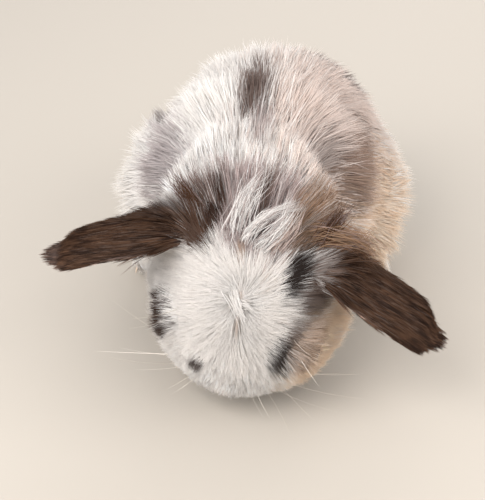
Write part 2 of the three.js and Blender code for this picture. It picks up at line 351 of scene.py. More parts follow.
def regionOf(node):
    return node.replace("_left", "").replace("_right", "")


regionNames = ["head", "neck", "trunk", "tail", "thigh", "foreleg", "hind_foot", "ear"]
regionOfNode = np.array([regionNames.index(regionOf(node)) for node in fleshNodes])
region = regionOfNode[nearNode]
inRegion = lambda name: region == regionNames.index(name)
slimParts = spread((inRegion("ear") | inRegion("foreleg") | inRegion("hind_foot")).astype(float), 3)[:, None]
points = spread(points, 9, 0.5 - skinPlan["slimHold"] * slimParts)
normals = unit(spread(readNormals(points), 3))

# For each region: the tufts' length in mm, their lift in degrees from the surface at root and tip, their
# width in mm, how many there are to a mm2, and how much they gather into clumps.
coatPlan = {
    "head": (9, 38, 6, 0.22, 7.4, 0.22),
    "neck": (18, 38, 6, 0.3, 2.7, 0.36),
    "trunk": (19, 30, 2, 0.36, 2.3, 0.34),
    "tail": (12, 56, 22, 0.36, 2.4, 0.4),
    "thigh": (15, 25, 1, 0.36, 2.2, 0.36),
    "foreleg": (6.5, 30, 8, 0.3, 3.4, 0.45),
    "hind_foot": (5.5, 26, 6, 0.3, 3.2, 0.4),
    "ear": (9.5, 13, 1, 0.25, 5.4, 0.42),
}
coat = np.array([coatPlan[name] for name in regionNames], float)[region]
coat = spread(coat, 7)
length, rootLift, tipLift, width, density, gather = coat.T.copy()

# The hair is shortest at the nose and round the eyes. Here and below, a pair of numbers is where a change
# starts and ends, and three are a place or a way.
facePlan = {"noseAt": (0, -36, -3), "noseShorter": 0.72, "noseReach": (5, 30), "eyeShorter": 0.74,
            "browLonger": 0.42, "browUp": (3, 8), "eyeReach": (7, 13), "finer": 0.3, "finerReach": (4, 22)}
onHead = toHead(points)
eyeGap = np.min([np.linalg.norm(points - at, axis=1) for at in eyeAt.values()], axis=0)
noseGap = np.linalg.norm(onHead - np.array(facePlan["noseAt"]), axis=1)
headness = spread(inRegion("head").astype(float), 4)
length *= 1 - headness * facePlan["noseShorter"] * fadeOut(*facePlan["noseReach"], noseGap)
eyeShorter = facePlan["eyeShorter"] - facePlan["browLonger"] * smoothstep(*facePlan["browUp"], onHead[:, 2])
length *= 1 - eyeShorter * fadeOut(*facePlan["eyeReach"], eyeGap)
width *= 1 - facePlan["finer"] * headness * fadeOut(*facePlan["finerReach"], np.minimum(noseGap, eyeGap))

# In the mane, back and up on the head, it is long and stands up.
manePlan = {"back": (4, 16), "up": (2, 12), "longer": 7, "rootLift": 8, "tipLift": 12, "gather": 0.2}
maneShare = headness * smoothstep(*manePlan["back"], onHead[:, 1]) * smoothstep(*manePlan["up"], onHead[:, 2])
length += manePlan["longer"] * maneShare
rootLift += manePlan["rootLift"] * maneShare
tipLift += manePlan["tipLift"] * maneShare
gather += manePlan["gather"] * maneShare

# How far out along its ear each point lies, from 0 at the root to 1 at the tip, and the ear's end faces.
earPlan = {"shorter": 0.6, "shorterFrom": (0.5, 0.95), "rootLift": 7, "liftFrom": (0.6, 0.95),
           "insideFaces": -0.6, "rimFaces": (0.2, 0.8), "blend": (0.15, 0.75), "endFaces": 0.3, "endLie": 0.2}
earWays = {"left": (0.86, -0.1, -0.49), "right": (-0.94, -0.05, -0.15)}
earRuns = {label: unit(np.array(way)) for label, way in earWays.items()}
earTops = {label: unit(np.cross(earRuns[label], (0, side, 0))) for label, side in sides.items()}
earPoints = {label: nearNode == fleshNodes.index(f"ear_{label}") for label in sides}
earOut, earEnd = np.zeros(count), np.zeros(count)
for label, here in earPoints.items():
    reach = points[here] @ earRuns[label]
    earOut[here] = (reach - reach.min()) / np.ptp(reach)
    earEnd[here] = np.maximum(normals[here] @ earRuns[label], 0) ** 2
length *= 1 - earPlan["shorter"] * smoothstep(*earPlan["shorterFrom"], earOut)
rootLift += earPlan["rootLift"] * smoothstep(*earPlan["liftFrom"], earOut)

# The skin lies inside the solids' outline by about the height that the tufts reach, but not at the eyes.
depthPlan = {"share": 1.32, "headLess": 0.15, "eyeReach": (6.5, 12.5), "slimHold": 0.35, "clearOfFloor": 1.2}
middleLift = np.radians((rootLift + tipLift) / 2)
depth = spread((depthPlan["share"] - depthPlan["headLess"] * headness) * length * np.sin(middleLift), 4)
depth *= smoothstep(*depthPlan["eyeReach"], eyeGap)
points = points - normals * depth[:, None]
points = spread(points, 4, 0.5 - depthPlan["slimHold"] * slimParts)
points[:, 2] = np.maximum(points[:, 2], depthPlan["clearOfFloor"])

# The skin of an ear's end is drawn in along the ear and made thinner, so that the coat closes over it.
earTipPlan = {"from": 0.7, "shorter": 1.8, "thinner": 0.55, "narrower": 0.22, "slices": 24}
for label in sides:
    here = np.flatnonzero(earPoints[label])
    run, above = earRuns[label], earTops[label]
    across = np.cross(above, run)
    place = points[here] @ np.stack([run, above, across], 1)
    order = np.argsort(place[:, 0])
    slices = [place[part].mean(0) for part in np.array_split(order, earTipPlan["slices"])]
    middle = np.stack([np.interp(place[:, 0], *np.array(slices)[:, [0, axis]].T) for axis in (1, 2)], 1)
    share = smoothstep(earTipPlan["from"], 1, earOut[here])
    shrink = 1 - share[:, None] * np.array((earTipPlan["thinner"], earTipPlan["narrower"]))
    place[:, 1:] = middle + (place[:, 1:] - middle) * shrink
    place[:, 0] -= earTipPlan["shorter"] * share
    points[here] = place @ np.stack([run, above, across])

# Lids.

# Angles are at the eye's middle, from the way that it looks. The opening is a wide almond with a low front
# corner, and its edge rises from inside the ball to the rim. Reach and hidden are shares of the eye's radius.
lidPlan = {"looks": (0.93, -0.28, 0.24), "frontCorner": (0.1, -1, -0.22), "halfLong": 55, "halfTall": 43,
           "edge": (-7, 2), "rim": 0.75, "rimWidth": 11, "hidden": 0.72, "reach": 2.4, "blendsOut": 44,
           "foldAt": 20, "foldWidth": 4, "foldDepth": 0.45, "bare": (4, 12), "farAway": 90}
eyeRadius = (nodeBox("eye_left")[1] - nodeBox("eye_left")[0])[2] / 2
hiddenRadius = eyeRadius * lidPlan["hidden"]
rimHeight = eyeRadius * (1 - lidPlan["hidden"]) + lidPlan["rim"]
lidAngle = np.full(count, float(lidPlan["farAway"]))
eyeLooks = {}
for label, side in sides.items():
    mirror = np.array((side, 1, 1))
    looks = eyeLooks[label] = turnFromHead(unit(np.array(lidPlan["looks"]) * mirror))
    front = flattened(turnFromHead(np.array(lidPlan["frontCorner"]) * mirror), looks)
    above = np.cross(looks, front) * side
    away = points - eyeAt[label]
    reach = np.linalg.norm(away, axis=1)
    ray = unit(away)
    lean = np.degrees(np.arccos(np.clip(ray @ looks, -1, 1)))
    around = np.arctan2(ray @ above, ray @ front)
    opening = 1 / np.hypot(np.cos(around) / lidPlan["halfLong"], np.sin(around) / lidPlan["halfTall"])
    past = lean - opening
    target = hiddenRadius + rimHeight * smoothstep(*lidPlan["edge"], past)
    target -= lidPlan["foldDepth"] * np.exp(-((past - lidPlan["foldAt"]) / lidPlan["foldWidth"]) ** 2)
    near = (reach < lidPlan["reach"] * eyeRadius) & (past < lidPlan["blendsOut"])
    hold = fadeOut(lidPlan["rimWidth"], lidPlan["blendsOut"], past) * near
    points = np.where(near[:, None], eyeAt[label] + ray * (reach + (target - reach) * hold)[:, None], points)
    lidAngle = np.where(near, np.minimum(lidAngle, past), lidAngle)

# Nose, split lip and mouth.

# Each groove runs from one place to another, across and up, and is the same on both sides of the face.
nosePlan = {"faces": (-24, -29), "pad": 3.6, "padMiddle": -1, "padTall": 0.8, "padEdge": (0.6, 1.0)}
groovePlan = {"width": 0.6, "grooves": {
    "nostril": {"from": (1.0, -2.2), "to": (3.3, 0.2), "depth": 1.3},
    "splitLip": {"from": (0, -2.4), "to": (0, -8.5), "depth": 1.1},
    "mouth": {"from": (0, -8.5), "to": (6.5, -10.5), "depth": 1.0},
}}


def lineGap(x, z, start, end):
    start, end = np.array(start), np.array(end)
    run = end - start
    share = np.clip(((x - start[0]) * run[0] + (z - start[1]) * run[1]) / (run @ run), 0, 1)
    return np.hypot(x - start[0] - share * run[0], z - start[1] - share * run[1])


x, y, z = toHead(points).T
facing = smoothstep(*nosePlan["faces"], y)
pushed = np.zeros(count)
for groove in groovePlan["grooves"].values():
    gap = lineGap(abs(x), z, groove["from"], groove["to"])
    pushed += groove["depth"] * np.exp(-(gap / groovePlan["width"]) ** 2)
points += (pushed * facing)[:, None] * turnFromHead((0, 1, 0))
fromPad = np.hypot(x / nosePlan["pad"], (z - nosePlan["padMiddle"]) / (nosePlan["padTall"] * nosePlan["pad"]))
nosePad = facing * fadeOut(*nosePlan["padEdge"], fromPad)

normals = readNormals(points)
softNormals = unit(spread(normals, 5))
bare = np.clip(fadeOut(*lidPlan["bare"], lidAngle) + nosePad, 0, 1)
onHead = toHead(points)
print("skin is shaped")

# The lie of the coat.

# The face's coat runs out from a short parting on the forehead, and turns a little about its upper end.
parting = np.array(((-0.7, -6.8, 22.6), (0.9, -15.5, 20)))
partingPlan = {"twist": 55, "twistReach": 5, "raised": 7, "raisedReach": 2.2, "turn": 26, "turnReach": 3.5,
               "denser": 1.2, "denserReach": 3, "darker": 0.14, "darkerReach": 4, "skinDarker": 0.55,
               "farAway": 99}
# On the trunk it runs back and down the sides, on the nape away from the forehead and on the chest down.
liePlan = {"outwards": 0.7, "down": 0.9, "nape": 0.5, "napeUp": (42, 60), "chest": (0, 0.4, -1.2),
           "chestFaces": (0.3, 0.8), "chestUp": (25, 48), "lowFace": (0, 0.85, -0.5), "lowFaceUp": (-2, -14),
           "paw": (0, -1, -0.25), "pawUp": 9, "tailRoot": (0, -12, -4), "bodySmoothing": 60}
limbWays = {"thigh": (0, 0.75, -0.65), "hind_foot": (0, -1, -0.1), "foreleg": (0, -0.55, -1)}

sideness = np.abs(softNormals[:, 0])
flow = np.stack([liePlan["outwards"] * softNormals[:, 0], np.ones(count), -liePlan["down"] * sideness], 1)
fromForehead = unit(points - fromHead(parting[0]))
onNape = spread(inRegion("neck").astype(float), 12) * smoothstep(*liePlan["napeUp"], points[:, 2])
flow += liePlan["nape"] * onNape[:, None] * (fromForehead - flow)
chest = smoothstep(*liePlan["chestFaces"], -softNormals[:, 1]) * (1 - headness)
chest = chest * fadeOut(*liePlan["chestUp"], points[:, 2])
flow += chest[:, None] * (np.array(liePlan["chest"]) - flow)
lowFace = smoothstep(*liePlan["lowFaceUp"], onHead[:, 2])[:, None]
partingRun = parting[1] - parting[0]
throughParting = np.clip((onHead - parting[0]) @ partingRun / (partingRun @ partingRun), 0, 1)[:, None]
fromParting = onHead - parting[0] - throughParting * partingRun
partingGap = np.linalg.norm(fromParting, axis=1)
twist = np.radians(partingPlan["twist"]) * np.exp(-partingGap / partingPlan["twistReach"])
outwards = unit(fromParting)
turned = np.stack([-outwards[:, 1], outwards[:, 0], outwards[:, 2]], 1)
outwards = unit(np.cos(twist)[:, None] * outwards + np.sin(twist)[:, None] * turned)
raised = headness * partingPlan["raised"] * np.exp(-partingGap / partingPlan["raisedReach"])
rootLift += raised
tipLift += raised
faceFlow = (1 - lowFace) * outwards + lowFace * np.array(liePlan["lowFace"])
flow = flow + headness[:, None] * (turnFromHead(faceFlow) - flow)
for name, way in limbWays.items():
    flow[inRegion(name)] = way
flow[inRegion("foreleg") & (points[:, 2] < liePlan["pawUp"])] = liePlan["paw"]
tailRoot = nodeMiddle("tail") + np.array(liePlan["tailRoot"])
flow[inRegion("tail")] = unit(points[inRegion("tail")] - tailRoot)
earUp = np.zeros((count, 3))
for label, here in earPoints.items():
    flow[here] = earRuns[label]
    earUp[here] = earTops[label]
flow = spread(flattened(flow, softNormals), 10)
bodyShare = spread((inRegion("neck") | inRegion("trunk") | inRegion("thigh")).astype(float), 8)[:, None]
flow = flattened(flow + bodyShare * (spread(flow, liePlan["bodySmoothing"]) - flow), softNormals)
earInside = inRegion("ear") & (along(softNormals, earUp)[:, 0] < earPlan["insideFaces"])
earRim = spread(inRegion("ear") * smoothstep(*earPlan["rimFaces"], softNormals[:, 1]), 2)

# Markings, with some painted sheen and shade.

palette = {name: np.array(linear(value)) for name, value in {
    "white": "#f3f0ed", "cream": "#f0dcc2", "pinkWhite": "#e2d3ca", "tan": "#b39377", "warmBrown": "#957157",
    "brown": "#644634", "chocolate": "#4a3226", "nearBlack": "#2e1e17", "greyBrown": "#8a7770",
    "maneGrey": "#b7a4a0", "lilac": "#b3a6a6", "pink": "#d9a99c", "lidRim": "#3a2820", "paleSkin": "#d8bfb4",
    "earDark": "#38241a", "earLight": "#74543f", "earPale": "#8f7b70"}.items()}

# Soft-edged patches, in order, in the whole rabbit's frame and in the head's: their middle, radii, colour,
# strength, and the width of their edge as a share of the patch. Fray is how far single tufts stray over it.
patchPlans = {
    "body": {"fray": 0.28, "patches": [
        ((30, 0, 70), (31, 60, 40), "pinkWhite", 0.7, 0.6),  # the back
        ((-1.5, -4, 89), (5.8, 18, 14), "greyBrown", 0.85, 0.7),
        ((-2.5, -5, 89), (3.4, 12, 12), "brown", 0.55, 0.8),
        ((2, -26, 86), (3.5, 9, 10), "maneGrey", 0.55, 0.9),
        ((-36, -16, 64), (11, 24, 14), "lilac", 0.62, 0.8),  # the sides
        ((37, -9, 59), (9, 21, 12), "warmBrown", 0.72, 0.7),
        ((26, -24, 73), (6, 12, 9), "greyBrown", 0.4, 0.9),
        ((44, 0, 28), (15, 42, 22), "cream", 0.6, 0.8),
        ((20, 54, 66), (18, 17, 16), "greyBrown", 0.85, 0.5),  # the rump
        ((-31, 51, 54), (15, 16, 16), "greyBrown", 0.7, 0.6),
        ((7, 76, 46), (14, 13, 16), "brown", 0.95, 0.4),
    ]},
    "head": {"fray": 0.17, "patches": [
        ((-1, 22, 16), (26, 13, 24), "maneGrey", 0.85, 0.3),  # the mane
        ((-20, 18, 18), (7, 11, 14), "brown", 0.7, 0.6),  # beside the right ear
        ((-15.5, 18.5, 21), (2.8, 11, 12), "chocolate", 0.95, 0.7),
        ((-21, 10.5, 21), (6, 6, 10), "brown", 0.9, 0.5),
        ((4, 16.5, 23), (6.5, 3.2, 8), "brown", 0.75, 0.7),  # in the mane
        ((-1, 29, 18), (2.2, 6, 9), "brown", 0.7, 0.7),
        ((14.5, 24, 14), (6, 13, 17), "tan", 0.85, 0.6),  # behind the left ear
        ((23, 26, -4), (9, 12, 20), "tan", 0.85, 0.6),
        ((19.5, 23, 9), (3.5, 8, 13), "brown", 0.45, 0.6),
        ((25, 10, 16), (7, 8, 12), "brown", 0.7, 0.6),  # before the left ear
        ((22.5, 0, 15), (5, 8, 9), "brown", 0.8, 0.6),
        # a near-black line at the fold before the left ear: partly the coat's dark brown, partly painted
        # shade in the fold
        ((15.8, 6, 22), (3.2, 8.5, 9), "nearBlack", 0.97, 0.6),
        ((28, -15, -3), (11.5, 21, 15), "cream", 0.7, 0.6),  # the left cheek
        ((23, -15, 7), (6.5, 10, 9), "tan", 0.55, 0.7),
        ((19, -14.5, 11), (3.2, 8, 6), "brown", 0.65, 0.8),  # the band over the left eye
        ((17, -21.5, 9.5), (3.2, 7, 6), "nearBlack", 0.9, 0.8),
        ((24.5, -17, 4), (5.5, 6.5, 6), "brown", 0.45, 0.6),
        ((-27.4, -14.5, 6), (3.4, 5, 9), "chocolate", 0.97, 0.4),  # the streak over the right eye
        ((-25.4, -18.5, 6), (2.9, 5, 9), "chocolate", 0.97, 0.4),
        ((-23.3, -22.5, 5), (2.4, 4, 8), "chocolate", 0.95, 0.4),
        ((-9.5, -30.3, 6), (2.4, 1.9, 4), "chocolate", 0.85, 0.7),  # the muzzle
        ((1.2, -16, 19.5), (1.2, 3, 4), "tan", 0.4, 0.9),  # the forehead
        ((-3, -10.3, 21.5), (1.6, 2.6, 4), "tan", 0.35, 0.9),
        ((-0.2, -6.2, 23), (1, 1.5, 3), "tan", 0.6, 0.7),
        ((-3.4, 8.4, 25), (1.3, 2.4, 4), "tan", 0.6, 0.7),
    ]},
}
# Lumps of noise that make the edges wander, and how an ear's own hair is coloured, with a painted sheen at
# the right ear's end.
wanderPlan = [{"share": 0.11, "size": 9, "seed": 3}, {"share": 0.07, "size": 3.5, "seed": 4}]
earTones = {"stretch": (0.3, 1, 1), "streaks": 4, "seed": 5, "streakEdge": (-1.1, 1.3), "stray": 0.9,
            "rimTan": 0.6, "tipGrey": 0.4, "tipFrom": (0.78, 0.92), "insideBrown": 0.6}


def markingsAndPaintedLight(at, ear, stray=0.0):
    # the coat's colour at each point; ear holds how much each is on an ear, inside it and on its rear rim and
    # how far out it is, and stray moves single tufts over a patch's edge
    colour = np.tile(palette["white"], (len(at), 1))
    wander = sum(lumps["share"] * ripple(at, lumps["size"], lumps["seed"]) for lumps in wanderPlan)
    for places, plan in ((at, patchPlans["body"]), (toHead(at), patchPlans["head"])):
        for middle, radii, name, strength, edge in plan["patches"]:
            gap = np.linalg.norm((places - np.array(middle)) / np.array(radii), axis=1)
            gap = gap + wander + stray * plan["fray"]
            share = strength * fadeOut(1 - edge / 2, 1 + edge / 2, gap)
            colour += share[:, None] * (palette[name] - colour)
    onEar, inEar, rim, out = (column[:, None] for column in ear.T)
    streaks = ripple(at * np.array(earTones["stretch"]), earTones["streaks"], earTones["seed"])
    streak = smoothstep(*earTones["streakEdge"], streaks + earTones["stray"] * stray)[:, None]
    outside = palette["earDark"] + streak * (palette["earLight"] - palette["earDark"])
    tan = earTones["rimTan"] * rim * (at[:, :1] > 0)  # the left ear has a tan rim, and the right one's tip is painted grey as a painted sheen
    outside = outside + tan * (palette["warmBrown"] - outside)
    # The right ear's end is painted grey-brown: a painted sheen of light on its dark hair.
    grey = earTones["tipGrey"] * smoothstep(*earTones["tipFrom"], out) * (at[:, :1] < 0)
    outside = outside + grey * (palette["greyBrown"] - outside)
    inside = palette["paleSkin"] + earTones["insideBrown"] * (palette["brown"] - palette["paleSkin"])
    earColour = outside + inEar * (inside - outside)
    return colour + onEar * (earColour - colour)


onEar = smoothstep(*earPlan["blend"], spread(inRegion("ear").astype(float), 5))
inEar = spread(earInside.astype(float), 3)
earFields = np.stack([onEar, inEar, earRim, spread(earOut, 2)], 1)
# The skin takes the colour of the coat over it, a little darker and pinker, with a pink nose and dark lids.
hideTones = {"coat": 0.95, "pale": 0.15, "paleShade": 0.9, "parting": 3, "nose": 0.9, "lids": (6, 24)}
skinColour = markingsAndPaintedLight(points + softNormals * depth[:, None], earFields) * hideTones["coat"]
skinColour += hideTones["pale"] * (palette["paleSkin"] * hideTones["paleShade"] - skinColour)
# The skin along the parting is painted darker: painted shade at the bottom of the parting, where the hair
# round it shades it.
inParting = headness * np.exp(-(partingGap / hideTones["parting"]) ** 2)
skinColour *= 1 - partingPlan["skinDarker"] * inParting[:, None]
skinColour += (nosePad * hideTones["nose"])[:, None] * (palette["pink"] - skinColour)
skinColour += fadeOut(*hideTones["lids"], lidAngle)[:, None] * (palette["lidRim"] - skinColour)
print("markings are laid out")

# The skin as a piece.

skinMesh.materials.clear()
paint(skinMesh, skinColour)
skinMesh.shade_smooth()

# Thin soft hide, seen only at lids, nose and inside the ears: dull, finely grained, a little pink.
hidePlan = {"grain": 1.1, "relief": 0.15}
hide = newMaterial("rabbitHide")
onObject = addNode(hide, "ShaderNodeTexCoord")
tint = addNode(hide, "ShaderNodeAttribute", {"attribute_name": "coatColour"})
grain = addNode(hide, "ShaderNodeTexNoise", {"Scale": 1 / (hidePlan["grain"] * mm), "Detail": 4.0},
                {"Vector": (onObject, "Object")})
relief = addNode(hide, "ShaderNodeBump", {"Strength": 0.35, "Distance": hidePlan["relief"] * mm},
                 {"Height": (grain, "Fac")})
shade = addNode(hide, "ShaderNodeBsdfPrincipled", {"Roughness": 0.62, "Specular IOR Level": 0.35},
                {"Base Color": (tint, "Color"), "Normal": (relief, "Normal")})
addNode(hide, "ShaderNodeOutputMaterial", links={"Surface": (shade, "BSDF")})
skinMesh.materials.append(hide)
skin = addObject("skin", skinMesh)
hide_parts(*fleshNodes)

# The coat.

tuftPlan = {"total": 205000, "clumpOf": 9, "steps": 8, "ridge": 0.42, "patch": 0.003, "sink": 0.032,
            "softness": 3.0, "lowestLine": 0.25, "lowestCorner": 0.15, "rootShade": 0.92, "tipBrighter": 0.1,
            "palest": 0.97, "underside": 0.6, "undersideFaces": (0.2, 0.8), "lidsBareTo": 6, "colourAt": 0.75,
            "flattens": 0.7, "gathers": 1.3, "runSpan": 0.15}
# Where along a tuft its rings of corners are, and how wide it is there: long hair bends more than short hair.
ringPlans = {
    "short": {"rings": (0.42,), "girth": (1.0,)},
    "long": {"rings": (0.3, 0.7), "girth": (1.0, 0.72)},
    "whisker": {"rings": (0.1, 0.3, 0.5, 0.7, 0.88), "girth": (1.0, 0.85, 0.65, 0.45, 0.28)},
}

skinMesh.calc_loop_triangles()
triangles = np.empty(len(skinMesh.loop_triangles) * 3, np.int32)
skinMesh.loop_triangles.foreach_get("vertices", triangles)
triangles = triangles.reshape(-1, 3)
corners = points[triangles]
area = np.linalg.norm(np.cross(corners[:, 1] - corners[:, 0], corners[:, 2] - corners[:, 0]), axis=1) / 2
underside = smoothstep(*tuftPlan["undersideFaces"], -softNormals[:, 2]) * (1 - headness)
want = density * (1 - bare) * (1 - tuftPlan["underside"] * underside)
want = want * np.where(lidAngle < tuftPlan["lidsBareTo"], 0, 1)
want *= 1 + partingPlan["denser"] * headness * np.exp(-partingGap / partingPlan["denserReach"])
running = np.cumsum(area * want[triangles].mean(1))
ticks = (np.arange(tuftPlan["total"]) + rng.random(tuftPlan["total"])) / tuftPlan["total"] * running[-1]
chosen = np.minimum(np.searchsorted(running, ticks), len(triangles) - 1)
share = rng.random((len(chosen), 2))
over = share.sum(1) > 1
share[over] = 1 - share[over]
share = np.hstack([1 - share.sum(1, keepdims=True), share])
headGap = np.where(headness > 0.5, partingGap, partingPlan["farAway"])
headFields = np.stack([maneShare, earEnd, headGap], 1)
coatFields = np.stack([length, rootLift, tipLift, width, gather], 1)
fields = np.hstack([points, softNormals, flow, coatFields, earFields, headFields])
fields = (fields[triangles[chosen]] * share[:, :, None]).sum(1)
at, up, lie = fields[:, 0:3], unit(fields[:, 3:6]), fields[:, 6:9]
tuftLength, tuftRoot, tuftTip, tuftWidth, tuftGather = fields[:, 9:14].T.copy()
tuftEar, (tuftMane, tuftEnd, tuftParting) = fields[:, 14:18], fields[:, 18:].T
tuftNode = nearNode[triangles[chosen, 0]]
lie = flattened(lie, up)
number = len(at)
for label, run in earRuns.items():
    # at an ear's end the tufts go straight on along the ear
    atEnd = (tuftNode == fleshNodes.index(f"ear_{label}")) & (tuftEnd > earPlan["endFaces"])
    lie[atEnd] = unit(lie[atEnd] * earPlan["endLie"] + run)

# Tufts lean together in clumps: each follows its nearest leader more and more towards the tip.
leaders = rng.choice(number, number // tuftPlan["clumpOf"], replace=False)
tree = KDTree(len(leaders))
for index, leader in enumerate(leaders):
    tree.insert(at[leader], index)
tree.balance()
clump = np.array([tree.find(point)[1] for point in at])
clumpTurn, clumpBend, clumpLift, clumpLong, clumpShade = rng.normal(0, 1, (5, len(leaders)))[:, clump]

# How much clumps and single tufts differ from the lie of the coat, in degrees or as a share. Ears are calmer.
strayPlan = {"clumpTurn": 4.5, "turn": 4, "wave": 8, "waveSize": 20, "waveSeed": 21, "clumpBend": 9,
             "bend": 8, "clumpLong": 0.1, "long": 0.13, "longest": 1.3, "shortest": 0.55, "rootLift": 3,
             "tipLift": 2.5, "earCalm": 0.7}


def vary(amount):
    return amount * rng.normal(0, 1, number)


calm = 1 - strayPlan["earCalm"] * tuftEar[:, 0]
wave = strayPlan["wave"] * ripple(at, strayPlan["waveSize"], strayPlan["waveSeed"])
turn = np.radians(strayPlan["clumpTurn"] * clumpTurn + vary(strayPlan["turn"]) + wave) * calm
turn += vary(np.radians(partingPlan["turn"])) * np.exp(-tuftParting / partingPlan["turnReach"])
bend = np.radians(vary(strayPlan["bend"]) + strayPlan["clumpBend"] * clumpBend) * calm
longer = 1 + strayPlan["clumpLong"] * clumpLong + vary(strayPlan["long"])
tuftLength *= np.clip(longer, strayPlan["shortest"], strayPlan["longest"])
tuftRoot += (strayPlan["rootLift"] * clumpLift + vary(strayPlan["rootLift"])) * calm
tuftTip += (strayPlan["tipLift"] * clumpLift + vary(strayPlan["tipLift"])) * calm

beside = np.cross(up, lie)
curve = [at - up * (tuftPlan["sink"] * tuftLength)[:, None]]
for step in range(tuftPlan["steps"]):
    through = (step + 0.5) / tuftPlan["steps"]
    lift = np.radians(tuftRoot + (tuftTip - tuftRoot) * through ** tuftPlan["flattens"])[:, None]
    heading = (turn + bend * through)[:, None]
    forward = np.cos(heading) * lie + np.sin(heading) * beside
    rise = np.cos(lift) * forward + np.sin(lift) * up
    curve.append(curve[-1] + rise * (tuftLength / tuftPlan["steps"])[:, None])
curve = np.stack(curve, 1)
pull = np.linspace(0, 1, curve.shape[1])[None, :, None] ** tuftPlan["gathers"] * tuftGather[:, None, None]
curve = curve + pull * (curve[leaders[clump]] - curve)
curve[:, :, 2] = np.maximum(curve[:, :, 2], tuftPlan["lowestLine"])


def pointsOn(lines, through):
    # each line's point at a share of its length
    step = through * (lines.shape[1] - 1)
    before = min(int(step), lines.shape[1] - 2)
    return lines[:, before] + (lines[:, before + 1] - lines[:, before]) * (step - before)


def spindles(kind, lines, ups, widths):
    # Each tuft is a spindle: a point at its root, rings of left, right and ridge corners, a point at its tip.
    # Gives the corners, their soft normals and how far along the tuft each is.
    plan = ringPlans[kind]
    places, normals = [pointsOn(lines, 0)], [ups]
    for through, girth in zip(plan["rings"], plan["girth"]):
        middle = pointsOn(lines, through)
        ahead, behind = min(through + tuftPlan["runSpan"], 1), max(through - tuftPlan["runSpan"], 0)
        run = unit(pointsOn(lines, ahead) - pointsOn(lines, behind))
        across = unit(np.cross(ups, run))
        ridge = np.cross(run, across)
        half = (widths * girth / 2)[:, None]
        for out, reach in ((-across, 1), (across, 1), (ridge, 2 * tuftPlan["ridge"])):
            places.append(middle + out * half * reach)
            normals.append(unit(out + ups * tuftPlan["softness"]))
    places = np.stack(places + [pointsOn(lines, 1)], 1)
    places[:, :, 2] = np.maximum(places[:, :, 2], tuftPlan["lowestCorner"])
    return places, np.stack(normals + [ups], 1), np.array([0, *np.repeat(plan["rings"], 3), 1])


def spindleFaces(ringCount):
    # the side that lies to the skin comes first, then the two that show
    last = 3 * ringCount + 1
    faces = []
    for i, j in ((0, 1), (1, 2), (2, 0)):
        faces.append((0, 1 + j, 1 + i))
        faces += [(k + i, k + j, k + 3 + j, k + 3 + i) for k in range(1, last - 3, 3)]
        faces.append((last - 3 + i, last - 3 + j, last))
    return faces


# Pale and dark hairs are mixed into the mane, and pale tufts into the ears' near halves as painted highlights
# on the dark ear hair. Tufts differ in brightness, most where the hair is short and in the mane and ears.
mixPlan = {"mostStray": 1.6, "mane": 0.16, "inMane": (0.1, 0.6), "ear": 0.16, "nearHalf": (0.3, 0.8),
           "dark": 0.5, "darkFrom": 0.3, "strength": 0.5,
           "uneven": 0.025, "shortUneven": 0.05, "shortHair": (4, 9), "longUneven": 0.05,
           "darkest": 0.6, "brightest": 1.3, "palest": 0.95}
stray = np.clip(vary(1), -mixPlan["mostStray"], mixPlan["mostStray"])
tuftColour = markingsAndPaintedLight(pointsOn(curve, tuftPlan["colourAt"]), tuftEar, stray)
inMane = smoothstep(*mixPlan["inMane"], tuftMane)
earHighlightShare = tuftEar[:, 0] * fadeOut(*mixPlan["nearHalf"], tuftEar[:, 3])
chance = mixPlan["mane"] * inMane + mixPlan["ear"] * earHighlightShare
drawn = rng.random(number)
pale = (drawn < chance)[:, None] * mixPlan["strength"]
isDark = (drawn > 1 - mixPlan["dark"] * chance) & (inMane > mixPlan["darkFrom"])
dark = isDark[:, None] * mixPlan["strength"]
paleColour = np.where(tuftEar[:, :1] > 0.5, palette["earPale"], palette["white"])
tuftColour = tuftColour + pale * (paleColour - tuftColour)
tuftColour = tuftColour + dark * (palette["brown"] - tuftColour)
# Tufts about the parting are painted darker: painted shade, since elsewhere tufts lie in the shadow of others
# and these do not.
tuftColour *= 1 - partingPlan["darker"] * np.exp(-(tuftParting / partingPlan["darkerReach"]) ** 2)[:, None]
uneven = (mixPlan["uneven"] + mixPlan["shortUneven"] * fadeOut(*mixPlan["shortHair"], tuftLength)
          + mixPlan["longUneven"] * np.maximum(inMane, tuftEar[:, 0]))
bright = np.clip(1 + uneven * (clumpShade + vary(1)), mixPlan["darkest"], mixPlan["brightest"])
tuftColour = np.clip(tuftColour * bright[:, None], 0, mixPlan["palest"])

# Soft keratin hair: dull, and light comes through it, so that the coat glows and has no hard shadows.
hair = newMaterial("rabbitFur")
tint = addNode(hair, "ShaderNodeAttribute", {"attribute_name": "coatColour"})
shade = addNode(hair, "ShaderNodeBsdfPrincipled", {"Roughness": 0.6, "Specular IOR Level": 0.2},
                {"Base Color": (tint, "Color")})
glow = addNode(hair, "ShaderNodeBsdfTranslucent", links={"Color": (tint, "Color")})
both = addNode(hair, "ShaderNodeMixShader", {"Fac": 0.64})  # the share of light that comes through
hair.node_tree.links.new(shade.outputs["BSDF"], both.inputs[1])
hair.node_tree.links.new(glow.outputs["BSDF"], both.inputs[2])
addNode(hair, "ShaderNodeOutputMaterial", links={"Surface": (both, "Shader")})


